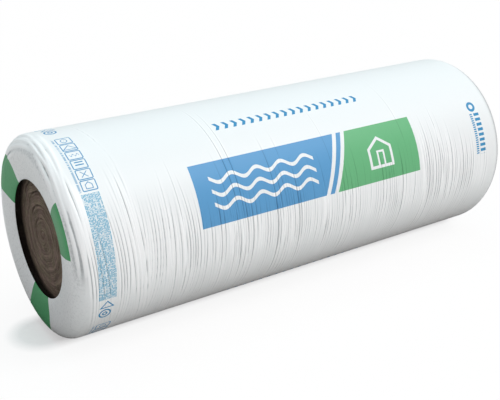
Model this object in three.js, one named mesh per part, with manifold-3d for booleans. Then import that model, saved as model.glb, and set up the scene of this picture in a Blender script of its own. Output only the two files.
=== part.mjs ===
// Insulation roll: a mineral-wool mat rolled up tight on itself, in a film wrap that is drawn over both
// shoulders and leaves a round opening at each end. Inside the opening the mat's turns lie a little deeper than
// the film's edge, and show as a spiral.
//
// Millimetres, +Z up. The roll lies on its side with its axis along X. The origin is on the floor, below the
// middle of the roll.

import * as THREE from 'three';
import { mergeVertices } from 'three/addons/utils/BufferGeometryUtils.js';
import Module from 'manifold-3d';

const wasm = await Module();
wasm.setup();

// Driving dimensions

const rollDiameter = 448; // over the film
const matWidth = 1200; // of the rolled mat, along the axis

const filmThickness = 1.5; // wall of the film solid
const filmGap = 0.3; // between the film and the wool that it lies on
const shoulderLength = 34; // of the rounded edge of the roll, along the axis
const shoulderDrop = 40; // of the rounded edge of the roll, across the axis
const openingDiameter = 258; // round hole in the film at each end
const lipWidth = 24; // free edge of the film round the hole, across the axis
const lipInset = 9; // how far the free edge is drawn into the roll

const hollowDepth = 27; // from the end of the roll to the face of the wool
const matPitch = 29; // thickness of one turn of the mat
const seamWidth = 7; // groove between one turn and the next, at the face
const seamDepth = 6;
const eyeDiameter = 12; // small eye in the middle, where the first turn closes on itself
const eyeDepth = 8;

// How finely the round forms are drawn

const facets = 64; // round the roll
const arcSteps = 5; // in a quarter of an arc
const seamStep = 11; // along the spiral

// Worked out

const rollRadius = rollDiameter / 2;
const openingRadius = openingDiameter / 2;
const hollowRadius = openingRadius + lipWidth;
const woolInset = filmThickness + filmGap;
const halfWidth = matWidth / 2 + woolInset;
const flatOverCorner = Math.cos(Math.PI / facets);

// Points of a quarter of an ellipse in a (radius, distance from the roll's end) plane. It starts square to the
// axis at the end's side, and both half sizes are measured from the centre.
function quarterArc(centreRadius, centreDepth, acrossAxis, alongAxis, outwards) {
  const points = [];
  for (let step = 0; step <= arcSteps; step++) {
    const angle = (step / arcSteps) * (Math.PI / 2);
    const across = acrossAxis * Math.sin(angle) * (outwards ? 1 : -1);
    const along = alongAxis * Math.cos(angle);
    points.push(new THREE.Vector2(centreRadius + across, centreDepth - along));
  }
  return points;
}

// The rounded shoulder of the roll, from its flat end out to its side, on a surface that lies a given distance
// inside the film's outer face.
function shoulderArc(inset) {
  const drop = shoulderDrop - inset;
  const length = shoulderLength - inset;
  return quarterArc(rollRadius - shoulderDrop, shoulderLength, drop, length, true);
}

// The film's free lip, from the flat end in to the edge of the opening.
function lipArc(inset) {
  const width = lipWidth - inset;
  const depth = lipInset - inset;
  return quarterArc(hollowRadius, lipInset, width, depth, false);
}

// One end's film surface, from the edge of the opening out to the side of the roll.
function filmEnd(inset) {
  return [...lipArc(inset).reverse(), ...shoulderArc(inset)];
}

// Puts an end's points, given as (radius, distance from the end), at the -X or the +X end of the roll.
function atEnd(points, side) {
  return points.map(({ x, y }) => new THREE.Vector2(x, side * (halfWidth - y)));
}

// An end's outline and its mirror image at the other end, joined in one run from -X to +X.
function bothEnds(points) {
  return [...atEnd(points, -1), ...atEnd(points, 1).reverse()];
}

// Turns an outline of (radius, x) points about the roll's axis. The flats of the facets, and not their corners,
// lie at the radius that the outline gives, so the roll rests at its true height.
function turned(outline) {
  const points = outline.map(({ x, y }) => new THREE.Vector2(x / flatOverCorner, y));
  const geometry = new THREE.LatheGeometry(points, facets, Math.PI / facets);
  return geometry.rotateZ(-Math.PI / 2);
}

// A closed manifold-3d solid from a three.js geometry, without the slivers that a lathe leaves on its axis.
function toSolid(geometry) {
  const bare = geometry.clone();
  bare.deleteAttribute('normal');
  bare.deleteAttribute('uv');
  const merged = mergeVertices(bare);
  const corners = [];
  for (let i = 0; i < merged.index.count; i += 3) {
    const [a, b, c] = [0, 1, 2].map((k) => merged.index.getX(i + k));
    if (a !== b && b !== c && c !== a) corners.push(a, b, c);
  }
  const vertProperties = new Float32Array(merged.attributes.position.array);
  const triVerts = new Uint32Array(corners);
  return new wasm.Manifold(new wasm.Mesh({ numProp: 3, vertProperties, triVerts }));
}

function toGeometry(solid) {
  const { vertProperties, triVerts } = solid.getMesh();
  const geometry = new THREE.BufferGeometry();
  geometry.setAttribute('position', new THREE.BufferAttribute(vertProperties, 3));
  geometry.setIndex(new THREE.BufferAttribute(triVerts, 1));
  geometry.computeVertexNormals();
  return geometry;
}

// The line between one turn of the mat and the next, as it shows on a face of the wool: it winds out from the
// eye by one pitch a turn, and ends at the wall of the hollow.
class MatSeam extends THREE.Curve {
  constructor(x) {
    super();
    this.x = x;
    this.arcLengthDivisions = 1000;
  }

  getPoint(t, target = new THREE.Vector3()) {
    const start = eyeDiameter / 2;
    const radius = start + (hollowRadius - start) * t;
    const angle = (2 * Math.PI * (radius - start)) / matPitch;
    return target.set(this.x, radius * Math.cos(angle), radius * Math.sin(angle));
  }
}

// The cutter for that line: a square-cornered section that stands on its point and is swept along the spiral,
// so that its inner half cuts a V into the face.
function seamCutter(x) {
  const section = new THREE.Shape([
    new THREE.Vector2(-seamDepth, 0),
    new THREE.Vector2(0, -seamWidth / 2),
    new THREE.Vector2(seamDepth, 0),
    new THREE.Vector2(0, seamWidth / 2),
  ]);
  const seam = new MatSeam(x);
  const steps = Math.ceil(seam.getLength() / seamStep);
  return toSolid(new THREE.ExtrudeGeometry(section, { steps, extrudePath: seam }));
}

function eyeCutter(x) {
  const eye = new THREE.CylinderGeometry(eyeDiameter / 2, eyeDiameter / 2, 2 * eyeDepth, 16);
  return toSolid(eye.rotateZ(Math.PI / 2).translate(x, 0, 0));
}

// The rolled mat. It fills the film up to the lip, and from there it is hollowed to the face that shows.
function woolRoll() {
  const end = [
    new THREE.Vector2(0, hollowDepth),
    new THREE.Vector2(hollowRadius, hollowDepth),
    new THREE.Vector2(hollowRadius, woolInset),
    ...shoulderArc(woolInset),
  ];
  let solid = toSolid(turned(bothEnds(end)));
  for (const x of [hollowDepth - halfWidth, halfWidth - hollowDepth]) {
    solid = solid.subtract(seamCutter(x)).subtract(eyeCutter(x));
  }
  return toGeometry(solid);
}

// The film wrap: its outer face from end to end, and back along its inner face.
function filmWrap() {
  const outline = [...bothEnds(filmEnd(0)), ...bothEnds(filmEnd(filmThickness)).reverse()];
  return toGeometry(toSolid(turned([...outline, outline[0]])));
}

const wool = new THREE.MeshStandardMaterial({ color: 0x5a4a40, roughness: 1, metalness: 0 });
const film = new THREE.MeshStandardMaterial({ color: 0xe9f1f2, roughness: 0.4, metalness: 0 });

function namedMesh(name, geometry, material) {
  const mesh = new THREE.Mesh(geometry, material);
  mesh.name = name;
  return mesh;
}

const roll = new THREE.Group();
roll.add(namedMesh('wool_roll', woolRoll(), wool));
roll.add(namedMesh('film_wrap', filmWrap(), film));
roll.position.z = rollRadius;

const part = new THREE.Group();
part.add(roll);

export default part;
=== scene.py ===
# %% [markdown]
# # A roll of mineral-wool insulation
# The real thing is two pieces: a brown mat of mineral wool, rolled up tight on itself, and a sheet of white
# polyethylene film round it, printed in blue and green. The film is drawn over both shoulders of the roll
# and leaves a round hole at each end, where the turns of the mat show.
#
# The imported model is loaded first. It holds the true sizes, so every new piece is built on measures that
# are read from its boxes, and no piece has to be fitted afterwards.

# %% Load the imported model
import math

import bmesh
import bpy
import numpy as np
from mathutils import Matrix, Vector


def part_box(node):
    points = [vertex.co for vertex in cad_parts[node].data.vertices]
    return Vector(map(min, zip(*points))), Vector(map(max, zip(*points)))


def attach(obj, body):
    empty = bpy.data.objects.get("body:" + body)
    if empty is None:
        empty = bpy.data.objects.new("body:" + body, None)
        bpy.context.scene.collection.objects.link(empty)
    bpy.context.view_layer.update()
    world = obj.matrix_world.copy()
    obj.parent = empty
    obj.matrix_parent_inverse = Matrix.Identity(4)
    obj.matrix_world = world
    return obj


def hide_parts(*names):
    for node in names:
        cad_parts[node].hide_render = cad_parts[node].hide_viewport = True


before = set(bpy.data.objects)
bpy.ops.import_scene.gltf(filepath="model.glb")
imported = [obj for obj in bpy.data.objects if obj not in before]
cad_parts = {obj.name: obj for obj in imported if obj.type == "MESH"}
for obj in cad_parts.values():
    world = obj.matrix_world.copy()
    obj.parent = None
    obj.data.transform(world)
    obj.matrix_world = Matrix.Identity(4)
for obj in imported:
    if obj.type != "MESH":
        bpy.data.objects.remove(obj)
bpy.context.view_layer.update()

# %% Sizes that both pieces share
MM = 0.001

film_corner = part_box("film_wrap")[1]  # its highest place along each axis
END = float(film_corner[0])  # the roll's ends lie this far from its middle
RADIUS = float(film_corner[1])  # over the film
AXIS = RADIUS  # height of the roll's axis over the floor

SHOULDER_LENGTH = 34 * MM  # rounded edge of the roll, along the axis
SHOULDER_DROP = 40 * MM  # and across it
OPENING = 130.2 * MM  # radius of the hole in the film
LIP = 22.8 * MM  # width of the film's free edge round the hole
LIP_INSET = 8.4 * MM  # how far that edge is drawn into the roll
HOLLOW = OPENING + LIP  # radius from which the film lies on the wool

print(f"roll {2 * END:.4f} m long, {2 * RADIUS:.4f} m across, axis {AXIS:.4f} m up")

# %% [markdown]
# ## Camera
# A camera is a point, a direction and a lens. Here the point is worked out from a turn round the object, a
# height angle and a distance, because those three can be changed one at a time. A long lens keeps the near
# end of the roll from swelling.

# %% Camera
def towards(azimuth, elevation):
    """The unit vector from an object to a camera: azimuth 0 stands on -Y, and grows towards +X."""
    turn, rise = math.radians(azimuth), math.radians(elevation)
    return Vector((math.sin(turn) * math.cos(rise), -math.cos(turn) * math.cos(rise), math.sin(rise)))


def look(obj, place, at):
    """Puts an object at a place and turns it to face another place."""
    turn = (at - place).to_track_quat("-Z", "Y")
    obj.matrix_world = Matrix.Translation(place) @ turn.to_matrix().to_4x4()


CAMERA_AZIMUTH, CAMERA_ELEVATION = -34.02, 22.93
CAMERA_DISTANCE = 2.131
LOOK_AT = Vector((-0.0508, 0.0, 0.1858))  # a little left of the roll's middle and under its axis
LENS, SENSOR_WIDTH = 62.48, 36.0  # both in millimetres

camera_data = bpy.data.cameras.new("camera")
camera_data.sensor_width = SENSOR_WIDTH
camera_data.lens = LENS
camera = bpy.data.objects.new("camera", camera_data)
bpy.context.scene.collection.objects.link(camera)
look(camera, LOOK_AT + CAMERA_DISTANCE * towards(CAMERA_AZIMUTH, CAMERA_ELEVATION), LOOK_AT)
bpy.context.scene.camera = camera
print("camera at", [round(c, 3) for c in camera.matrix_world.translation])

# %% [markdown]
# ## Sums inside a shader
# A pattern that is worked out inside a material needs many Math nodes. Wiring them by hand hides the sum
# that they make. The class below wraps a socket and gives it Python's own signs, so that `1 - mask * 0.5`
# makes its own nodes.

# %% A socket that sums can be done with
class Value:
    """Wraps a socket of a material. Each sign adds a Math node."""

    def __init__(self, finish, socket):
        self.finish = finish
        self.socket = socket

    def math(self, operation, *others, clamp=False):
        settings = {"operation": operation, "use_clamp": clamp}
        return self.finish.node("ShaderNodeMath", settings, dict(enumerate((self, *others))))

    def __add__(self, other):
        return self.math("ADD", other)

    def __mul__(self, other):
        return self.math("MULTIPLY", other)

    def __sub__(self, other):
        return self.math("SUBTRACT", other)

    def __rsub__(self, other):
        return (self * -1).math("ADD", other)

    def __truediv__(self, other):
        return self.math("DIVIDE", other)

    def __neg__(self):
        return self * -1

    def __abs__(self):
        return self.math("ABSOLUTE")

    def __mod__(self, other):
        return self.math("FLOORED_MODULO", other)

    __radd__ = __add__
    __rmul__ = __mul__

    def least(self, other):
        return self.math("MINIMUM", other)

    def most(self, other):
        return self.math("MAXIMUM", other)

    def above(self, edge, soft):
        """0 below the edge and 1 above it, with a soft step of the given width."""
        return self.math("MULTIPLY_ADD", 1 / soft, 0.5 - edge / soft, clamp=True)

    def below(self, edge, soft):
        """1 below the edge and 0 above it."""
        return self.math("MULTIPLY_ADD", -1 / soft, 0.5 + edge / soft, clamp=True)

    def between(self, low, high, soft):
        return self.above(low, soft) * self.below(high, soft)


print("values ready")

# %% [markdown]
# Every other kind of node comes from one method of the material, which takes the node's type, its settings
# and what goes into its sockets. The few nodes that are used often have short methods of their own.

# %% A material and its nodes
class Finish:
    """A node tree, of a material or the world, and the one method that adds any node to it."""

    def __init__(self, owner, **fixed):
        self.owner = bpy.data.materials.new(owner) if isinstance(owner, str) else owner
        self.owner.use_nodes = True
        self.tree = self.owner.node_tree
        self.tree.nodes.clear()
        if isinstance(owner, str):
            self.shader = self.node("ShaderNodeBsdfPrincipled").socket.node
            self.out("Material", Value(self, self.shader.outputs[0]))
        for socket, value in fixed.items():
            self.shader.inputs[socket.replace("_", " ")].default_value = value

    def out(self, kind, surface):
        self.node(f"ShaderNodeOutput{kind}", inputs={"Surface": surface}, output=None)

    def node(self, kind, settings=None, inputs=None, output=0):
        """Adds a node. Its settings come first, and then what goes into its sockets."""
        node = self.tree.nodes.new(kind)
        for name, value in (settings or {}).items():
            setattr(node, name, value)
        for name, value in (inputs or {}).items():
            self.feed(node.inputs[name], value)
        return None if output is None else Value(self, node.outputs[output])

    def feed(self, socket, value):
        """Links a value to a socket, or sets the socket to a plain number or colour."""
        if isinstance(value, Value):
            self.tree.links.new(value.socket, socket)
        else:
            socket.default_value = value

    def place(self):
        """The point's own place on the object, in metres, as three values and as one vector."""
        vector = self.node("ShaderNodeTexCoord", output="Object")
        axes = [self.node("ShaderNodeSeparateXYZ", inputs={0: vector}, output=axis) for axis in "XYZ"]
        return axes, vector

    def vector(self, x, y, z):
        return self.node("ShaderNodeCombineXYZ", inputs={"X": x, "Y": y, "Z": z})

    def noise(self, vector, scale, detail=2.0, roughness=0.5):
        inputs = {"Vector": vector, "Scale": scale, "Detail": detail, "Roughness": roughness}
        return self.node("ShaderNodeTexNoise", inputs=inputs)

    def mix(self, factor, low, high, blend="MIX"):
        """A colour between two others."""
        settings = {"data_type": "RGBA", "blend_type": blend}
        return self.node("ShaderNodeMix", settings, {0: factor, 6: low, 7: high}, output=2)

    def bump(self, height, distance, strength=1.0):
        inputs = {"Height": height, "Distance": distance, "Strength": strength}
        return self.node("ShaderNodeBump", inputs=inputs)

    def use(self, socket, value):
        self.feed(self.shader.inputs[socket], value)


def colour(red, green, blue):
    """A colour as it looks on a screen, 0 to 255, turned into the linear values that a shader reads."""
    linear = [((c / 255 + 0.055) / 1.055) ** 2.4 if c > 10 else c / 255 / 12.92 for c in (red, green, blue)]
    return (*linear, 1)


print("finishes ready")

# %% [markdown]
# ## Studio
# White film shows its shape only in soft steps of grey, so most of the light is even: a pale world, which
# leaves the shaded side grey and not black, and is a little cooler overhead, as daylight is. One broad lamp
# stands high in front and to the right. It lights the upper front and leaves the left end in even shade, so
# that the end and the side can be told apart. A weak lamp, high up and a little behind, lifts the top.
#
# The camera itself sees the world as white, which the Light Path node can tell apart. So the background is
# white without any more light on the roll.

# %% Lamps and world
WHITE = (1, 1, 1, 1)
WORLD_LEVEL = 0.68
LEVEL_SKY = (0.64, 0.605, 0.59, 1)  # the world at eye level
HIGH_SKY = (0.985, 1.015, 1.07, 1)  # and overhead
LAMP_DISTANCE, LAMP_SIZE = 16, 6.8


def lamp(name, azimuth, elevation, level, tint):
    """An area lamp that lights a white surface facing it to the given level, where 1 is white."""
    data = bpy.data.lights.new(name, "AREA")
    data.shape = "DISK"
    data.size = LAMP_SIZE
    data.color = tint
    data.energy = level * math.pi**2 * LAMP_DISTANCE**2
    obj = bpy.data.objects.new(name, data)
    bpy.context.scene.collection.objects.link(obj)
    middle = Vector((0, 0, AXIS))
    look(obj, middle + LAMP_DISTANCE * towards(azimuth, elevation), middle)


lamp("key", azimuth=43, elevation=50, level=0.435, tint=(1, 1, 1))
lamp("overhead", azimuth=180, elevation=75, level=0.16, tint=(0.45, 0.98, 1))

world = bpy.data.worlds.new("studio")
bpy.context.scene.world = world
world.use_nodes = True
sky = Finish(world)
by_camera = sky.node("ShaderNodeLightPath")
upwards = sky.node("ShaderNodeTexCoord", output="Generated")
upwards = sky.node("ShaderNodeSeparateXYZ", inputs={0: upwards}, output="Z")
dome = sky.mix(upwards.most(0), LEVEL_SKY, HIGH_SKY)
lighting = sky.node("ShaderNodeBackground", inputs={"Color": dome, "Strength": WORLD_LEVEL})
backdrop = sky.node("ShaderNodeBackground", inputs={"Color": WHITE, "Strength": 1.0})
sky.out("World", sky.node("ShaderNodeMixShader", inputs={0: by_camera, 1: lighting, 2: backdrop}))
bpy.context.scene.view_settings.view_transform = "Standard"
print("lamps and world ready")

# %% [markdown]
# The floor turns white for the camera too, bit by bit, away from the roll, and so keeps the shadow under
# it. What the floor throws back as light is set apart from what the camera sees of it, and is darker close
# to the roll, where the roll itself keeps the light away.

# %% Floor
FLOOR_SIZE = 12  # half of its side
FLOOR_SEEN = (0.975, 0.955, 0.95, 1)  # the floor's colour for the camera
FLOOR_FELT = (0.76, 0.73, 0.71, 1)  # and for the light that it throws back
FLOOR_SHADED = (0.15, 0.145, 0.14, 1)  # close to the roll
SHADE_EDGE, SHADE_SOFT = 0.235, 0.3  # how far from below the axis that is, and how wide its edge
PAST_END_COUNTS = 0.4  # a way past the ends counts for less, so the shade reaches further out there
# how much white the camera sees on the floor: all over, added outside the roll, and added further out
WHITE_ALL_OVER, WHITE_OUTSIDE, WHITE_FAR = 0.41, 0.48, 0.09
OUTSIDE, FAR = (0.068, 0.035), (0.22, 0.36)  # how far from below the axis these start, and how softly

floor_mesh = bpy.data.meshes.new("floor")
bm = bmesh.new()
bmesh.ops.create_grid(bm, x_segments=1, y_segments=1, size=FLOOR_SIZE)
bm.to_mesh(floor_mesh)
bm.free()
floor = bpy.data.objects.new("floor", floor_mesh)
bpy.context.scene.collection.objects.link(floor)

ground = Finish(bpy.data.materials.new("floor"))
(x, y, z), _ = ground.place()
by_camera = ground.node("ShaderNodeLightPath")
past_end = (abs(x) - END).most(0)
apart = (past_end * past_end + y * y).math("SQRT")
brightened = apart.above(*OUTSIDE) * WHITE_OUTSIDE + apart.above(*FAR) * WHITE_FAR
whitened = by_camera * (brightened + WHITE_ALL_OVER)
past_end = past_end * PAST_END_COUNTS
open_floor = (past_end * past_end + y * y).math("SQRT").above(SHADE_EDGE, SHADE_SOFT)
felt = ground.mix(open_floor, FLOOR_SHADED, FLOOR_FELT)
paint = ground.mix(by_camera, felt, FLOOR_SEEN)
matt = ground.node("ShaderNodeBsdfDiffuse", inputs={"Color": paint})
white = ground.node("ShaderNodeEmission", inputs={"Color": WHITE, "Strength": 1.0})
ground.out("Material", ground.node("ShaderNodeMixShader", inputs={0: whitened, 1: matt, 2: white}))
floor_mesh.materials.append(ground.owner)
print("floor ready")

# %% [markdown]
# ## Helpers for turned pieces
# Both pieces are turned: an outline is drawn in one plane through the axis and spun round it. The outline
# is a chain of edges, and its rounded parts are quarter ellipses. Long straight runs are cut up with
# subdivide_edges before the spin, so that creases and fibres have points to move.

# %% Outline and spin
def quarter(centre_r, centre_depth, across, along, steps):
    """A quarter of an ellipse from the flat of the end to the side, as (radius, depth) points."""
    angles = [step / steps * math.pi / 2 for step in range(steps + 1)]
    return [(centre_r + across * math.sin(a), centre_depth - along * math.cos(a)) for a in angles]


def at_end(points, side):
    """(radius, depth) points as places in the XZ plane above the axis, at the -X or +X end."""
    return [Vector((side * (END - depth), 0, AXIS + radius)) for radius, depth in points]


def chain(bm, points):
    """Joins points by edges into an outline."""
    verts = [bm.verts.new(point) for point in points]
    for pair in zip(verts, verts[1:]):
        bm.edges.new(pair)


def cut_up(bm, longest, edges=None):
    """Subdivides edges of an outline into equal pieces that are no longer than the given length."""
    for edge in list(edges or bm.edges):
        cuts = math.ceil(edge.calc_length() / longest) - 1
        if cuts > 0:
            bmesh.ops.subdivide_edges(bm, edges=[edge], cuts=cuts)


def spin_round(bm, steps):
    """Turns the outline once round the roll's axis and closes it."""
    bmesh.ops.spin(
        bm, geom=list(bm.verts) + list(bm.edges), cent=(0, 0, AXIS), axis=(1, 0, 0), dvec=(0, 0, 0),
        angle=2 * math.pi, steps=steps, use_merge=True, use_duplicate=False,
    )
    bmesh.ops.remove_doubles(bm, verts=bm.verts, dist=0.01 * MM)
    bmesh.ops.recalc_face_normals(bm, faces=bm.faces)


def finished(bm, name):
    """A smooth object of the given name, made from the spun mesh."""
    mesh = bpy.data.meshes.new(name)
    bm.to_mesh(mesh)
    bm.free()
    mesh.shade_smooth()
    obj = bpy.data.objects.new(name, mesh)
    bpy.context.scene.collection.objects.link(obj)
    return obj


print("outline helpers ready")

# %% [markdown]
# ## The film
# The film is one thin sheet: it lies on the roll, rounds the shoulders, lies flat on the ends and slopes in
# to the hole. Its outline goes along the outside and back along the inside, so that the spun mesh is a
# closed skin with a real thickness. Only the outside is cut up finely. The inside never shows.

# %% Film outline, spun
FILM = 1.5 * MM  # wall over the wool
FILM_EDGE = 0.4 * MM  # wall at the free edge
ROUND_STEPS = 72
SIDE_ROW = 0.98 * MM  # spacing of the rows of points along the roll
END_ROW = 2.6 * MM  # and across the ends
SLOPE = 48 * MM  # width of the part of the film that slopes in towards the hole


def lip(steps, wall=0.0, edge_wall=0.0):
    """The film's free part at one end, from the hole outwards: a gentle slope that curls in at its edge."""
    points = []
    for step in range(steps + 1):
        free = 1 - step / steps
        inwards = 0.75 * free**1.25 + 0.25 * free**6
        behind = wall + (edge_wall - wall) * free
        points.append((OPENING + SLOPE * (1 - free), LIP_INSET * inwards + behind))
    return points


def shoulder(steps, wall=0.0):
    """The rounded edge of the roll, from the flat ring to the side."""
    drop, length = SHOULDER_DROP - wall, SHOULDER_LENGTH - wall
    return quarter(RADIUS - SHOULDER_DROP, SHOULDER_LENGTH, drop, length, steps)


bm = bmesh.new()
outside = lip(steps=18) + shoulder(steps=52)
for end in (-1, 1):
    chain(bm, at_end(outside, end))
cut_up(bm, END_ROW)
side = [max((v for v in bm.verts if v.co.x * end > 0), key=lambda v: v.co.z) for end in (-1, 1)]
cut_up(bm, SIDE_ROW, [bm.edges.new(side)])
outer_tips = [v for v in bm.verts if len(v.link_edges) == 1]
inside = lip(steps=8, wall=FILM, edge_wall=FILM_EDGE) + shoulder(steps=6, wall=FILM)
chain(bm, at_end(inside, -1) + at_end(inside, 1)[::-1])
inner_tips = [v for v in bm.verts if len(v.link_edges) == 1 and v not in outer_tips]
for outer in outer_tips:
    bm.edges.new((outer, min(inner_tips, key=lambda v: (v.co - outer.co).length)))
print("film outline:", len(bm.verts), "points")
spin_round(bm, ROUND_STEPS)
film = finished(bm, "film_printed")
print("film:", len(film.data.polygons), "faces")

# %% [markdown]
# ## Creases in the film
# Film that is pulled tight round a soft roll throws fine creases that run round the roll: narrow valleys
# with soft ridges beside them, a hand or two long. A cloth simulation would need a point every millimetre
# to show them, so the creases are laid on one by one in code: each point of the skin moves in or out by the
# sum of the creases that pass it.
#
# How deep the film is folded there sets a painted shade in each valley and a painted highlight on its ridges,
# kept as an attribute of the mesh, above 0 in a valley and below 0 on a ridge, because the shape alone can't
# show them at this spacing.

# %% One crease
VALLEY_DEPTH, RIDGE_HEIGHT = 0.8, 0.5  # in millimetres, for a crease of strength 1
RIDGE_PLACE, RIDGE_WIDTH = 3.2, 1.35  # both counted in widths of the valley
RIDGE_HIGHLIGHT_SHARE = 1.4  # how much painted highlight a ridge gets, where its valley gets a painted shade of 1
REACH = 8  # a crease is felt this many widths away


def ramp(value, start, width):
    """0 before the start, 1 a width after it, with a soft change between them."""
    t = np.clip((value - start) / width, 0, 1)
    return t * t * (3 - 2 * t)


def tuck(across, width):
    """Section of a crease: its height, a valley between two ridges, and their painted shade and highlight."""
    away = np.abs(across) / width
    valley = np.exp(-away)
    ridges = np.exp(-(((away - RIDGE_PLACE) / RIDGE_WIDTH) ** 2))
    return RIDGE_HEIGHT * ridges - VALLEY_DEPTH * valley, valley - RIDGE_HIGHLIGHT_SHARE * ridges


class Creases:
    """Height of all the creases at each point of the film, and their painted shade and highlight, one after
    another.
    """

    def __init__(self, count):
        self.height = np.zeros(count)
        self.fold_shading = np.zeros(count)

    def add(self, across, width, deep, present):
        """One crease, from each point's distance across it and how much of the crease is there."""
        near = (np.abs(across) < REACH * width) & (present > 0.01)
        shape, crease_shading = tuck(across[near], width)
        self.height[near] += deep * MM * shape * present[near]
        self.fold_shading[near] += deep * crease_shading * present[near]


section, _ = tuck(np.linspace(-REACH, REACH, 81) * MM, MM)
print(f"one crease goes from {section.min():.2f} to {section.max():.2f} mm")

# %% [markdown]
# The creases come in bundles, with smoother film between, and a few run on alone over the top. In a bundle
# they lie side by side with much the same lean and bow, so a bundle is one row of a table, and its creases
# are set out along it by a seeded chance. On the back the bundles themselves are set out by chance too.

# %% Bundles of creases down the sides
# each bundle: from and to along the roll from its left end, strength, the angle where it starts, and lean
FRONT_BUNDLES = (
    (25, 43, 0.9, 50, 7), (50, 70, 0.7, 64, 12), (90, 116, 0.9, 58, 6), (119, 148, 1.0, 54, 7),
    (152, 190, 0.6, 66, -4), (193, 220, 0.9, 66, -3), (226, 240, 0.5, 72, 0), (242, 278, 1.0, 66, 1),
    (284, 318, 0.5, 76, 0), (322, 345, 1.0, 70, 1), (350, 410, 1.0, 68, 4), (418, 468, 0.4, 78, 1),
    (473, 540, 0.9, 70, 4), (546, 600, 0.35, 78, 1), (606, 622, 1.1, 68, 3), (626, 650, 0.4, 78, 2),
    (655, 715, 0.7, 74, 4), (720, 778, 0.35, 80, 1), (782, 846, 0.8, 72, 2), (852, 910, 0.35, 80, 0),
    (914, 952, 0.85, 62, 3), (956, 1016, 0.8, 62, 4), (1020, 1090, 0.55, 76, 1), (1094, 1150, 0.3, 84, 0),
)
# each long crease: place, the angles where it starts and runs out, lean and depth
LONG_CREASES = (
    (120, 42, 103, 7, 0.9), (133, 40, 103, 7, 1.2), (206, 50, 98, -6, 1.1), (241, 46, 103, 1, 1.0),
    (356, 48, 103, 6, 0.9), (376, 8, 105, 5, 1.2), (389, 14, 112, 3, 1.2), (476, 44, 103, 2, 1.1),
    (513, 44, 102, 3, 0.8), (610, 62, 104, 4, 1.1), (919, 55, 104, 3, 1.2), (982, 54, 103, 8, 0.9),
    (1005, 57, 101, 2, 0.9), (168, -8, 16, 18, 0.7), (640, 30, 62, 2, 0.5), (868, 22, 56, 2, 0.5),
)
print(len(FRONT_BUNDLES), "bundles in front and", len(LONG_CREASES), "creases on their own")

# %% Creases down a side
BACK_FROM, BACK_TO = 60, 1130  # millimetres from the left end, between which the back has its bundles
PLACED_AT = 84  # the angle at which the places above are measured, in degrees from the top
LEAN_ANGLE = 30  # lean and bow are millimetres for this many degrees further down
FULL_AT = 82  # the angle at which a crease is as deep as it gets
RUN_OUT = 102  # and at which those of a bundle run out
FAINT = 0.3  # part of the depth near the start
LOST = 0.76  # part of the depth that is gone after the end
DEPTHS, DEPTH_SHARES = (1.0, 1.3, 1.6, 1.9), (0.25, 0.3, 0.3, 0.15)
SPACING = 4.2, 8.2  # least and most, in millimetres


def down_the_side(creases, along, angle, place, start, end, lean, bow, deep, rng):
    """One crease across a side: it deepens downwards and runs out soon after its end angle."""
    down = (angle - PLACED_AT) / LEAN_ANGLE
    across = along - (place + lean * down + bow * down**2) * MM
    # each change is soft, over some degrees
    deepens = ramp(angle, start, max(FULL_AT - start, 14))
    present = ramp(angle, start - 10, 18) * (FAINT + (1 - FAINT) * deepens)
    present *= (1 - LOST * ramp(angle, end - 2, 6)) * (1 - ramp(angle, end + 14, 20))
    creases.add(across, rng.uniform(0.8, 1.3) * MM, deep, present)


def bundle(creases, along, angle, begin, finish, strength, start, lean, rng):
    """Creases side by side, all with much the same lean and bow."""
    bow = rng.normal(0, 2)
    place = begin + rng.uniform(0, 4)
    while place < finish:
        deep = strength * rng.choice(DEPTHS, p=DEPTH_SHARES)
        ends = rng.normal(start, 8), rng.normal(RUN_OUT, 2)
        own = rng.normal(lean, 0.8), rng.normal(bow, 0.6)
        down_the_side(creases, along, angle, place, *ends, *own, deep, rng)
        place += rng.uniform(*SPACING)


def scattered_bundles(rng):
    """Bundles for the back, placed by chance but of the same kind as those in front."""
    place = BACK_FROM
    while place < BACK_TO:
        length = rng.uniform(30, 90)
        strength = rng.choice((0.3, 0.5, 0.8, 0.95))
        yield place, place + length, strength, rng.normal(68, 7), rng.normal(2, 3)
        place += length + rng.uniform(0, 40)


print(f"the back has bundles from {BACK_FROM} to {BACK_TO} mm along the roll")

# %% [markdown]
# Over the shoulders the film is looser. It lies in groups of short folds, the gathers, along the rims,
# because there the same width of film has a shorter way to go round. It also sinks a little in a few broad
# dimples, which break the even light on the shoulder and are darkened with painted shade as well.

# %% Gathers and dimples at the rims
# each group: the end of the roll, how many folds, from and to on the way over the shoulder, the angle of
# its middle, how far it spreads, the folds' slant and their strength
GATHERS = (
    (-1, 9, 20, 46, -13, 8, 6, 1.1), (-1, 15, 22, 50, 17, 11, -9, 1.0), (-1, 10, 20, 44, 38, 8, -10, 0.9),
    (-1, 12, 26, 62, 62, 12, 5, 0.9), (-1, 26, 6, 60, -45, 16, 0, 0.9), (-1, 30, 3, 60, 250, 50, 0, 0.6),
    (1, 34, 3, 24, 40, 80, 0, 0.5), (1, 40, 3, 60, 235, 80, 0, 0.6),
)
# each dimple: the end, its place over the shoulder, its width, the angle of its middle, its reach and
# its strength, which sets both its depth and its painted shade
DIMPLES = (
    (-1, 15, 9, 5, 42, 0.2), (-1, 34, 17, 72, 19, 0.48),
    (-1, 62, 5, 66, 16, 0.25), (1, 38, 14, 60, 110, 0.5),
)
DIMPLE_DEPTH = 2 * MM  # for a strength of 1


def turn_from(angle, middle):
    """How far an angle lies from another, from -180 to 180 degrees."""
    return (angle - middle + 180) % 360 - 180


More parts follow.
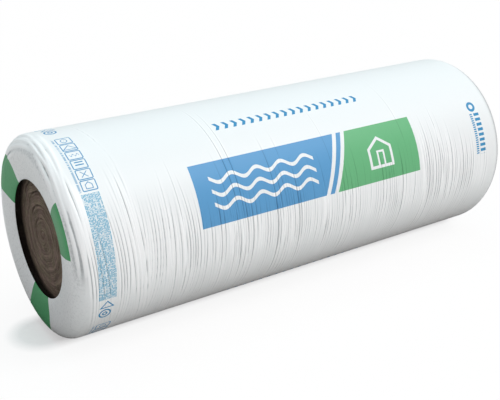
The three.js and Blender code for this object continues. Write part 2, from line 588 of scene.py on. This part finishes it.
def gather(creases, run, angle, count, begin, finish, middle, spread, slant, strength, rng):
    """A group of short folds along a rim. run is the way over the shoulder from the flat of the end."""
    for _ in range(count):
        off = turn_from(angle, middle + spread * rng.uniform(-1, 1))
        steps = off / LEAN_ANGLE
        line = rng.uniform(begin, finish) + rng.normal(slant, 2) * steps + rng.normal(0, 2) * steps**2
        present = np.exp(-((off / rng.uniform(6, 15)) ** 4))
        creases.add(run - line * MM, rng.uniform(1.3, 2.6) * MM, strength * rng.uniform(0.4, 1.4), present)


def dimple(run, angle, place, width, middle, reach, deep):
    """A broad, shallow hollow, from 0 outside it to its strength in its middle; it also sets painted shade.
    """
    off = turn_from(angle, middle)
    return deep * np.exp(-((run / MM - place) / width) ** 4 - (off / reach) ** 4)


print(len(GATHERS), "groups of gathers and", len(DIMPLES), "dimples")

# %% [markdown]
# A crease needs to know where each point lies on the sheet: how far along it, and at what angle. Along the
# side that is the distance from the end of the roll. Over the shoulder it is the way that the film takes,
# which is longer. Only the outside of the skin is moved, so its points are picked out first, by the way
# that their normals point.

# %% Places on the sheet
SHOULDER_BEND = 37 * MM  # film for each radian of the shoulder
SHOULDER_RUN = 58 * MM  # film over the whole shoulder
OUTWARD = 0.4  # least part of a point's normal that points out of the roll


def points_of(mesh):
    """All points of a mesh, one row of x, y and z for each."""
    points = np.zeros(len(mesh.vertices) * 3)
    mesh.vertices.foreach_get("co", points)
    return points.reshape(-1, 3)


def move_points(mesh, points):
    mesh.vertices.foreach_set("co", points.ravel())
    mesh.update()


def round_axis(points):
    """Each point's distance from the roll's axis, and its angle in degrees from the top to the front."""
    up, front = points[:, 2] - AXIS, -points[:, 1]
    return np.hypot(up, front), np.degrees(np.arctan2(front, up))


points = points_of(film.data)
normals = np.zeros(len(points) * 3)
film.data.vertices.foreach_get("normal", normals)
normals = normals.reshape(-1, 3)
radius, angle = round_axis(points)
depth = END - np.abs(points[:, 0])
outwards = (normals[:, 1] * points[:, 1] + normals[:, 2] * (points[:, 2] - AXIS)) / radius
outwards += np.where(depth < SHOULDER_LENGTH, np.sign(points[:, 0]) * normals[:, 0], 0)
skin = outwards > OUTWARD

rise = np.arcsin(np.clip((radius - RADIUS + SHOULDER_DROP) / SHOULDER_DROP, 0, 1))
past_shoulder = SHOULDER_RUN + depth - SHOULDER_LENGTH
run = np.where(depth < SHOULDER_LENGTH, rise * SHOULDER_BEND, past_shoulder)
along = run - (SHOULDER_RUN - SHOULDER_LENGTH)  # the same as the depth, once round the shoulder
along = np.where(points[:, 0] < 0, along, 2 * END - along)
print("points that can move:", skin.sum(), "of", len(points))

# %% Creases laid on the film
FRONT_SEED, BACK_SEED = 7, 23
SIDE_FROM = 44 * MM  # the creases of the sides start this far over the shoulder
FADE_FROM, FADE_WIDTH = 18 * MM, 30 * MM  # and deepen from this depth on
RIM_TO = 80 * MM  # the gathers go no further than this over the shoulder
VALLEY_MAX, RIDGE_MAX = 1.2 * MM, 1.4 * MM  # the film moves no further than this in and out
FLOOR_GAP = 0.2 * MM  # and stays this far over the floor
FOLD_SHADING_GAIN, FOLD_SHADE_MOST = 1.2, 0.65  # how strongly the painted shade and highlight of the folds show, and the most that the shade darkens

on_side = skin & (run > SIDE_FROM)
sides = Creases(on_side.sum())
rng = np.random.default_rng(FRONT_SEED)
for row in FRONT_BUNDLES:
    bundle(sides, along[on_side], angle[on_side], *row, rng)
for place, start, end, lean, deep in LONG_CREASES:
    down_the_side(sides, along[on_side], angle[on_side], place, start, end, lean, 0, deep, rng)
rng = np.random.default_rng(BACK_SEED)
for row in scattered_bundles(rng):
    bundle(sides, along[on_side], -angle[on_side], *row, rng)

height, fold_shading = np.zeros(len(points)), np.zeros(len(points))
height[on_side], fold_shading[on_side] = sides.height, sides.fold_shading
height *= np.clip((depth - FADE_FROM) / FADE_WIDTH, 0, 1)
for seed, (end, *row) in enumerate(GATHERS):
    rim = skin & (points[:, 0] * end > 0) & (radius > RADIUS - SHOULDER_DROP) & (run < RIM_TO)
    gathered = Creases(rim.sum())
    gather(gathered, run[rim], angle[rim], *row, np.random.default_rng(seed))
    height[rim] += gathered.height
    fold_shading[rim] += gathered.fold_shading
for end, *row in DIMPLES:
    hollow = skin * (points[:, 0] * end > 0) * dimple(run, angle, *row)
    height -= hollow * DIMPLE_DEPTH
    # each dimple also darkens the film's colour: painted shade
    fold_shading += hollow

height = np.clip(height, -VALLEY_MAX, RIDGE_MAX)
points += normals * (height * skin)[:, None]
points[:, 2] = np.maximum(points[:, 2], FLOOR_GAP)
move_points(film.data, points)
# painted shade in the crease valleys and painted highlight on their ridges, kept for the film's colour
fold_shading = np.clip(FOLD_SHADING_GAIN * fold_shading, -1, FOLD_SHADE_MOST)
film.data.attributes.new("fold_shading", "FLOAT", "POINT").data.foreach_set("value", fold_shading)
print(f"creases from {height.min() * 1000:.2f} to {height.max() * 1000:.2f} mm")

# %% [markdown]
# Each new piece rides on the body of the part that it belongs to, and takes the place of the coarse node
# that it was made from.

# %% Film piece in the frame
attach(film, "root")
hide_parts("film_wrap")
print(film.name, "takes the place of film_wrap")

# %% [markdown]
# ## The wool
# The mat could be made as one long strip, wound up, but the film hides all of it apart from its two faces
# in the hollows. So it is one turned solid, whose outline is coarse where it is hidden, and whose faces are
# cut up finely. Each face swells a little in the middle and falls away towards the film, which has pulled
# the outer turns in.

# %% Wool outline, spun
WOOL_INSET = 1.8 * MM  # from the film's outer face to the wool
FACE_DEPTH = 25.5 * MM  # from the roll's end to the wool's face
FACE_SWELL = 6 * MM  # how far the face stands out in its middle
FACE_FALL = 2 * MM  # and how much deeper it lies at its rim
FACE_FLAT = 128 * MM  # radius at which it starts to fall
FACE_ROW = 1.35 * MM  # spacing of the rings of points on the face
UNDER_LIP, UNDER_RING = 6 * MM, 3 * MM  # depth of the wool behind the film's lip and its flat ring
SWELL_STEPS, FALL_STEPS, WOOL_STEPS = 8, 6, 200

face = []
for step in range(SWELL_STEPS + 1):
    part = step / SWELL_STEPS
    face.append((FACE_FLAT * part, FACE_DEPTH - FACE_SWELL * (1 - part**2)))
for step in range(1, FALL_STEPS + 1):
    part = step / FALL_STEPS
    face.append((FACE_FLAT + (HOLLOW - FACE_FLAT) * part, FACE_DEPTH + FACE_FALL * part**2))
drop, length = SHOULDER_DROP - WOOL_INSET, SHOULDER_LENGTH - WOOL_INSET
hidden = [face[-1], (HOLLOW, UNDER_LIP), (RADIUS - SHOULDER_DROP, UNDER_RING)]
hidden += quarter(RADIUS - SHOULDER_DROP, SHOULDER_LENGTH, drop, length, steps=4)

bm = bmesh.new()
for end in (-1, 1):
    chain(bm, at_end(face, end))
cut_up(bm, FACE_ROW)
chain(bm, at_end(hidden, -1) + at_end(hidden, 1)[::-1])
bmesh.ops.remove_doubles(bm, verts=bm.verts, dist=0.01 * MM)
spin_round(bm, WOOL_STEPS)
wool = finished(bm, "wool_turns")
print("wool:", len(wool.data.polygons), "faces")

# %% [markdown]
# ## Turns of the mat
# The turns are one spiral, which starts at a small eye and steps out by the mat's thickness each time
# round. A point's place in the spiral is its radius less what the spiral has gained by that angle. The
# whole part of that number counts the turns, and the rest says how far across the mat the point lies: 0 and
# 1 are the seams.
#
# Wool is soft, so the seams wander, the mat bulges between them, and its layers of fibre show as fine ribs.
# The roll lies on its side, so its weight presses the seams shut below the eye and lets them gape above it.

# %% A place in the spiral, and a smooth random field
PITCH = 29 * MM  # thickness of one turn
EYE = 6 * MM  # radius of the small eye in the middle


def turn_phase(radius, across, up):
    """How many turns of the mat lie between the eye and a point."""
    angle = np.arctan2(up, across) % (2 * math.pi)
    return (radius - EYE) / PITCH - angle / (2 * math.pi)


def wave_noise(a, b, seed, octaves=4):
    """A smooth random field made of a few sine waves in all directions, from about -1 to 1."""
    waves = np.random.default_rng(seed)
    total, norm = 0, 0
    for octave in range(octaves):
        for _ in range(5):
            heading = waves.uniform(0, 2 * math.pi)
            scale = 2**octave * waves.uniform(0.8, 1.25)
            wave = np.sin(scale * (a * math.cos(heading) + b * math.sin(heading)) + waves.uniform(0, 6.3))
            total = total + wave / 2**octave
        norm += 2.2 / 2**octave
    return total / norm


print(f"{turn_phase(HOLLOW, 1, 0):.1f} turns from the eye to the film")

# %% Relief of the turns
WANDER = 3.2 * MM  # how far a seam strays from the spiral
SEAM_WIDTH, EYE_WIDTH = 2.2 * MM, 5.5 * MM
# how deep each form lies at most, in millimetres
SEAM_DEEP, CROWN_DEEP, LAYER_DEEP, TUFT_DEEP, EYE_DEEP = 2.6, 1.4, 0.6, 0.5, 5
LAYERS = 17  # how finely the mat is layered
SEAM_OPENS = 3.5  # how much more a seam gapes for each metre further up

points = points_of(wool.data)
radius, _ = round_axis(points)
on_face = radius < HOLLOW - 0.1 * MM
y, z = points[on_face, 1], points[on_face, 2] - AXIS
wander = WANDER * wave_noise(y * 26, z * 26, seed=3)
part_of_turn = turn_phase(radius[on_face] + wander, y, z) % 1.0
from_seam = np.minimum(part_of_turn, 1 - part_of_turn) * PITCH
open_seam = np.clip(0.5 + SEAM_OPENS * z + 0.55 * wave_noise(y * 40, z * 40, seed=11), 0.1, 1.2)
seam = np.exp(-((from_seam / SEAM_WIDTH) ** 2)) * open_seam
crown = CROWN_DEEP * (1 - np.sin(part_of_turn * math.pi) ** 0.7)
layers = LAYER_DEEP * wave_noise(part_of_turn * LAYERS, y * 12 + z * 9, seed=5)
tufts = TUFT_DEEP * wave_noise(y * 260, z * 260, seed=9, octaves=3)
eye = EYE_DEEP * np.exp(-((radius[on_face] / EYE_WIDTH) ** 4))
sunk = (SEAM_DEEP * seam + crown + layers + tufts + eye) * MM
points[on_face, 0] -= np.sign(points[on_face, 0]) * sunk
move_points(wool.data, points)
shade = np.zeros(len(points))
shade[on_face] = np.clip(0.75 * seam + 0.15 * layers + 0.1 * tufts, 0, 1)
wool.data.attributes.new("seam", "FLOAT", "POINT").data.foreach_set("value", shade)
print(f"wool face sunk by {sunk.min() * 1000:.1f} to {sunk.max() * 1000:.1f} mm")

# %% Wool piece in the frame
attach(wool, "root")
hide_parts("wool_roll")
print(wool.name, "takes the place of wool_roll")

# %% [markdown]
# ## Printed film
# Polyethylene film has a soft sheen, and its print is thin ink, as glossy as the film. So the print changes
# nothing but the base colour. An image could hold the print, but plain shapes can be worked out in the
# shader, and stay sharp at any size of picture. Each mark is a distance to some line or point, with an edge
# at a given value of it: that is all that a box, a ring, a house or a row of small print needs.

# %% Marks of the print
EDGE = 0.5  # how soft the edge of a mark is, in millimetres


def box(u, v, left, right, top, bottom):
    """1 inside a box and 0 outside it."""
    return u.between(left, right, EDGE) * v.between(top, bottom, EDGE)


def far_from(u, v, centre_u, centre_v):
    """Distance to a point."""
    du, dv = u - centre_u, v - centre_v
    return (du * du + dv * dv).math("SQRT")


def outline(distance, width):
    """A line of the given width where a distance is 0."""
    return abs(distance).below(width / 2, EDGE)


def rounded_box(u, v, centre_u, centre_v, half_u, half_v, corner):
    """Distance to the edge of a box with round corners, negative inside it."""
    out_u = abs(u - centre_u) - (half_u - corner)
    out_v = abs(v - centre_v) - (half_v - corner)
    outside = out_u.most(0) * out_u.most(0) + out_v.most(0) * out_v.most(0)
    return outside.math("SQRT") + out_u.most(out_v).least(0) - corner


def gable(u, v, centre_u, peak_v, half_u, bottom_v, slope):
    """Distance to the edge of a shape with a pitched top: a house, or with no walls left, a triangle."""
    reach = abs(u - centre_u)
    roof = (reach * slope + peak_v - v) * (1 / math.hypot(1, slope))
    return roof.most(reach - half_u).most(v - bottom_v)


def chance(finish, column, row):
    """A number between 0 and 1 for each cell of a grid, the same all over the cell."""
    cell = finish.vector(column.math("FLOOR"), row.math("FLOOR"), 0)
    return finish.node("ShaderNodeTexWhiteNoise", {"noise_dimensions": "2D"}, {"Vector": cell})


def strokes(finish, lines, steps, line_pitch, step_pitch, coverage, gaps):
    """Rows of short bars in place of small print: every cell of a grid holds ink or not, at random.

    Some eight cells in a row share a second chance, which leaves gaps as between words."""
    line, cell = lines / line_pitch, steps / step_pitch
    word = cell * 0.13 + line.math("FLOOR") * 0.37
    inked = chance(finish, line, cell).below(coverage, 0.001)
    inked = inked * chance(finish, line, word).above(gaps, 0.001)
    return inked * (line % 1).between(0.14, 0.86, 0.1)


print("marks ready")

# %% [markdown]
# The print is worked out in millimetres on the flat film: `along` runs from the left end of the roll, and
# `around` goes from the top of the roll over its front. The print comes from a cylinder that turns three
# times for one turn of the roll, so the same marks come back every 120 degrees. The remainder of a division
# gives that for free.

# %% Film finish and places of the print
FIRST = 50.8  # the repeat starts this far behind the top of the roll
REPEAT = 2 * math.pi * RADIUS / MM / 3

film_finish = Finish("printed_film", Roughness=0.42, Specular_IOR_Level=0.22)
(x, y, z), place = film_finish.place()
along = (x + END) / MM
turn = (-y).math("ARCTAN2", z - AXIS)
around = (turn * (RADIUS / MM) + FIRST) % REPEAT - FIRST
from_axis = far_from(y, z, 0, AXIS) / MM
from_end = (END - abs(x)) / MM
print(f"the print repeats every {REPEAT:.1f} mm round the roll")

# %% Blue and green fields with waves and a house
BAND_TOP, BAND_BOTTOM = 180, 316
BAND_LEFT, BAND_RIGHT = 284.5, 902.3
BAND_MIDDLE = (BAND_TOP + BAND_BOTTOM) / 2
BAND_SLANT = 0.42  # how far the fields' slanted ends lean, for each millimetre down
BLUE_TO, STRIPE_FROM, STRIPE_TO, GREEN_FROM = 640, 651, 664, 675  # along the middle of the band
WAVES_LEFT, WAVES_RIGHT, WAVE_START = 322, 594, 330
WAVE_LENGTH, WAVE_HEIGHT, WAVE_LINE, WAVE_SPACING = 64, 7, 8.5, 28
HOUSE_PLACE, HOUSE_FOOT = 786, 282

slant = along + (around - BAND_MIDDLE) * BAND_SLANT
band = around.between(BAND_TOP, BAND_BOTTOM, EDGE)
blue_field = band * along.above(BAND_LEFT, EDGE) * slant.below(BLUE_TO, EDGE)
stripe = band * slant.between(STRIPE_FROM, STRIPE_TO, EDGE)
green_field = band * slant.above(GREEN_FROM, EDGE) * along.below(BAND_RIGHT, EDGE)

wave = ((along - WAVE_START) * (2 * math.pi / WAVE_LENGTH)).math("SINE") * WAVE_HEIGHT
rows = (BAND_MIDDLE - WAVE_SPACING, BAND_MIDDLE, BAND_MIDDLE + WAVE_SPACING)
upper, centre, lower = (outline(around - row - wave, WAVE_LINE) for row in rows)
waves = upper.most(centre).most(lower) * along.between(WAVES_LEFT, WAVES_RIGHT, EDGE)
house = gable(along, around, HOUSE_PLACE, peak_v=214, half_u=33, bottom_v=HOUSE_FOOT, slope=0.72)
door = gable(along, around, HOUSE_PLACE, peak_v=246, half_u=9, bottom_v=HOUSE_FOOT, slope=0.01)
home = outline(house, 7).most(outline(door, 5) * house.below(0, EDGE))
white_marks = waves.most(home)
print(f"the band is {BAND_RIGHT - BAND_LEFT:.1f} mm long and {BAND_BOTTOM - BAND_TOP} mm high")

# %% A row of arrows over the band
ARROWS_LEFT, ARROWS_RIGHT, ARROW_PITCH = 388, 798, 22.8
ARROWS_TOP, ARROWS_BOTTOM, ARROWS_MIDDLE = 86, 107, 96.5
ARROW_POINT, ARROW_LINE = 0.62, 8.5  # how sharply an arrow bends, and the width of its line

arrow_u = (along - ARROWS_LEFT) % ARROW_PITCH
arrows = outline(arrow_u - 15 + abs(around - ARROWS_MIDDLE) * ARROW_POINT, ARROW_LINE)
arrows = arrows * box(along, around, ARROWS_LEFT, ARROWS_RIGHT, ARROWS_TOP, ARROWS_BOTTOM)
print(round((ARROWS_RIGHT - ARROWS_LEFT) / ARROW_PITCH), "arrows")

# %% Six boxed signs with small print beside and under them
SIGN_MIDDLE, SIGN_TOP, SIGN_PITCH = 68.8, 29.7, 25.7
SIGN_LINE = 1.6

sign_u = along - SIGN_MIDDLE
sign_v = (around - SIGN_TOP) % SIGN_PITCH - SIGN_PITCH / 2
sign_number = ((around - SIGN_TOP) / SIGN_PITCH).math("FLOOR")
from_middle = far_from(sign_u, sign_v, 0, 0)
signs = outline(rounded_box(sign_u, sign_v, 0, 0, half_u=15.4, half_v=11.2, corner=2.5), 2.1)
# a ring with a dot, a triangle, a wavy line, bars, a cross and a box with a roof
motifs = (
    outline(from_middle, SIGN_LINE).most(outline(from_middle - 6.5, SIGN_LINE)),
    outline(gable(sign_u, sign_v, 0, peak_v=-6.5, half_u=20, bottom_v=6.5, slope=0.95), SIGN_LINE),
    outline(sign_v - ((along - 60) * 0.7).math("SINE") * 3, 1.8) * along.between(59, 79, EDGE),
    (sign_v * 0.9).math("SINE").above(0.35, 0.3) * box(along, sign_v, 60, 78, -7.5, 7.5),
    outline(sign_u - sign_v, 2).most(outline(sign_u + sign_v, 2)) * abs(sign_v).below(7, EDGE),
    outline(gable(sign_u, sign_v, 0, peak_v=-7.5, half_u=7, bottom_v=7, slope=0.8), SIGN_LINE),
)
for number, motif in enumerate(motifs):
    signs = signs.most(motif * sign_number.between(number - 0.5, number + 0.5, 0.1))
sign_foot = SIGN_TOP + len(motifs) * SIGN_PITCH
signs = signs * box(along, around, left=52, right=85.6, top=SIGN_TOP - EDGE, bottom=sign_foot + EDGE)
small_line = strokes(film_finish, along - 43.6, around, 6, 1.7, coverage=0.74, gaps=0)
small_line = small_line * box(along, around, left=43.7, right=50.6, top=SIGN_TOP, bottom=184)
block = strokes(film_finish, along - 45, around, 3, 1.5, coverage=0.66, gaps=0.02) * 0.76 + 0.24
block = block * box(along, around, left=45, right=83.5, top=188, bottom=414)
print(len(motifs), "signs, down to", round(sign_foot), "mm from the top of the roll")

# %% Marks at the edges of the sheet
TRIANGLE_PLACE, BUTTON_MIDDLE, RING_MIDDLE = 65, (62.5, -12.5), (1117, 192.5)
BARS_TOP, BARS_BOTTOM = 211, 317

triangle = gable(along, around, TRIANGLE_PLACE, peak_v=-48.5, half_u=15, bottom_v=-31.5, slope=1.2)
button = far_from(along, around, *BUTTON_MIDDLE)
left_marks = outline(triangle, 2.6).most(outline(button - 12, 3.4)).most(outline(button - 4.5, 3))
bar_v = around - BARS_TOP
bars = (bar_v % 13.2).below(7.4, 0.5) * box(along, around, 1116, 1134, BARS_TOP, BARS_BOTTOM)
small_bars = (bar_v % 5.6).below(3.4, 0.4) * box(along, around, 1102, 1111, BARS_TOP, BARS_BOTTOM)
right_marks = outline(far_from(along, around, *RING_MIDDLE) - 10, 7).most(bars).most(small_bars)
print("left and right marks ready")

# %% [markdown]
# The part of the sheet that is drawn over the ends is printed as well: each end of the roll shows three
# green patches. They are fields between two bowed sides and an outer edge, worked out in millimetres from
# the angle and the distance to the axis.
#
# Along the back the two ends of the sheet lie over each other in a narrow lap, where the second layer veils
# the first, and a fine painted shadow lies along the edge on either side.

# %% Green patches on the ends, and the lap along the back
PATCH_RADIUS, PATCH_REACH = 163, 33  # where the sides bow out most, and how far from there they end
PATCH_DEPTH = 12  # the patches go no further over the shoulder than this
# each patch: its middle, half its width and the bow of its sides in degrees, and its outer edge
PATCHES = (63.6, 17.2, 0, 198.3), (183.9, 17, -2.1, 205), (304.5, 17, 2.5, 205)
LAP_PLACE, LAP_HALF = 515, 14  # how far behind the top the lap lies, and half its width

degrees = turn * (180 / math.pi)
bulge = (from_axis - PATCH_RADIUS) / PATCH_REACH
bulge = 1 - bulge * bulge
patches = None
for middle, half, bow, limit in PATCHES:
    off = (degrees - middle - bulge * bow + 180) % 360 - 180
    corner = off * off * (2.6 * abs(bow) / half**2)
    patch = (abs(off) - bulge * (abs(bow) * 0.65)).below(half, 0.25)
    patch = patch * (from_axis - corner).below(limit, 0.5)
    patches = patch if patches is None else patches.most(patch)
patches = patches * from_end.below(PATCH_DEPTH, 0.4)

from_lap = abs(turn * (RADIUS / MM) + LAP_PLACE)
lap = from_lap.below(LAP_HALF, 0.6)
# a thin painted shadow along each edge of the lap
lap_edge_shadow = outline(from_lap - LAP_HALF, 1)
print(len(PATCHES), "patches on each end, and a lap", 2 * LAP_HALF, "mm wide")

# %% [markdown]
# Where the film is slack, on the ends and low on the sides, it has a fine crinkle a few millimetres across,
# which a noise gives to its tone and its bump. Over the top it is pulled smooth. The painted shade of the
# folds and dimples and the painted highlight of the ridges come from the mesh, through the attribute kept
# for them. Then the colours are laid over each other in the order in which they lie on the film: white with
# its painted ridge highlights, small print, fields, marks in the fields, patches and lap with a painted
# shadow at its edges, and the painted shade of the folds, with the crinkle's tone, over all of them.

# %% Colours of the film
FILM_WHITE, HIGHLIGHT_WHITE = colour(243, 244, 244), colour(255, 255, 255)
BLUE, GREEN, END_GREEN = colour(97, 160, 208), colour(110, 185, 131), colour(83, 163, 108)
INK, PALE_INK = colour(62, 147, 194), colour(123, 183, 210)
LAP_SHADOW_GREY, SHADE_AND_CRINKLE_GREY = colour(150, 155, 158), colour(142, 146, 149)
PRINTED_FROM = 212  # millimetres from the axis: nearer to it, on the ends, the small marks are left off

fold_shading = film_finish.node("ShaderNodeAttribute", {"attribute_name": "fold_shading"}, output=2)
slack = from_end.below(13, 16).most((z / AXIS).below(0.55, 0.7))
crinkle = film_finish.noise(place, scale=210, detail=3, roughness=0.6)
crinkle = (crinkle - 0.5) * (slack * 0.95 + 0.05)
off_the_ends = from_axis.above(PRINTED_FROM, 1)
small_marks = signs.most(small_line * 0.62).most(left_marks).most(right_marks).most(arrows)

# painted highlight on the crease ridges, from the mesh's attribute
white = film_finish.mix((-fold_shading).most(0), FILM_WHITE, HIGHLIGHT_WHITE)
printed = film_finish.mix(block * off_the_ends, white, PALE_INK)
printed = film_finish.mix(small_marks * off_the_ends, printed, INK)
printed = film_finish.mix(blue_field.most(stripe), printed, BLUE)
printed = film_finish.mix(green_field, printed, GREEN)
printed = film_finish.mix(white_marks, printed, white)
printed = film_finish.mix(patches, printed, END_GREEN)
printed = film_finish.mix(lap * 0.3, printed, white)
# painted shadow along the edges of the lap
printed = film_finish.mix(lap_edge_shadow * 0.35, printed, LAP_SHADOW_GREY)
# painted shade in the crease valleys and dimples, together with the crinkle's tone
printed = film_finish.mix((fold_shading + crinkle).most(0), printed, SHADE_AND_CRINKLE_GREY, blend="MULTIPLY")
film_finish.use("Base Color", printed)
film_finish.use("Normal", film_finish.bump(lap + crinkle * 3, distance=0.1 * MM))
film.data.materials.append(film_finish.owner)
print("print:", len(film_finish.tree.nodes), "nodes")

# %% [markdown]
# ## Mineral wool
# Mineral wool is a mass of fine brown fibres with no sheen. Hair could be grown for the single fibres, but
# from a few steps away only their layers and tufts show, so a material is enough. The layers follow the
# turns. A noise that is stretched along the turns gives them: its first coordinate runs across the mat and
# the other two are the plain place on the face at a much coarser scale, so the pattern has no cut where the
# angle starts again. A second, even noise gives the tufts, and a coarse one lets the brown drift between a
# redder and a greener tone, as it does where the binder has browned more or less. Towards the film the wool
# lies in the shade of the lip.

# %% Wool material
REDDISH, GREENISH = colour(152, 131, 120), colour(145, 132, 113)
DEEP_BROWN, LIP_SHADE = colour(67, 57, 50), colour(24, 23, 22)
LIP_SHADE_EDGE, LIP_SHADE_SOFT = 143.5, 25  # millimetres from the axis, and how wide that edge is
TONE_RANGE, TONE_MIDDLE, SEAM_DARKER = 2.4, 0.47, 0.36

wool_finish = Finish("mineral_wool", Roughness=1.0, Specular_IOR_Level=0.12)
(x, y, z), place = wool_finish.place()
up = z - AXIS
from_axis = (y * y + up * up).math("SQRT")
wander = wool_finish.noise(place, scale=22) - 0.5
layer = ((from_axis - EYE) / PITCH - up.math("ARCTAN2", y) / (2 * math.pi)) % 1
fibre_place = wool_finish.vector(layer * 6 + wander * 5, y * 6, up * 6)
fibres = wool_finish.noise(fibre_place, scale=1.5, detail=3, roughness=0.55)
tufts = wool_finish.noise(place, scale=200, detail=3, roughness=0.6)
clouds = wool_finish.noise(place, scale=30)
sunk = wool_finish.node("ShaderNodeAttribute", {"attribute_name": "seam"}, output=2)
tone = fibres * 0.6 + tufts * 0.2 + clouds * 0.2
tone = (tone - 0.5) * TONE_RANGE + TONE_MIDDLE - sunk * SEAM_DARKER
blotches = wool_finish.noise(place, scale=55, detail=1).above(0.5, 0.25)
bright = wool_finish.mix(blotches, REDDISH, GREENISH)
wool_colour = wool_finish.mix(tone.most(0).least(1), DEEP_BROWN, bright)
by_film = (from_axis / MM).above(LIP_SHADE_EDGE, LIP_SHADE_SOFT)
wool_finish.use("Base Color", wool_finish.mix(by_film * 0.95, wool_colour, LIP_SHADE))
relief = wool_finish.bump(tufts * 0.6 + fibres * 0.4, distance=1.5 * MM, strength=0.6)
wool_finish.use("Normal", relief)
wool.data.materials.append(wool_finish.owner)
print("wool:", len(wool_finish.tree.nodes), "nodes")

# %% [markdown]
# ## The film as a sheet
# A sheet is cut from flat film: its flat size runs along the roll from one hole to the other, and once round
# the roll with the lap. It is held stretched, and rests on the wool. Here its length round the roll is shown.

# %% The film as a sheet
print(f"the roll is {2 * math.pi * RADIUS:.3f} m round, to which the lap is added")

# %% [markdown]

print("roll finished")
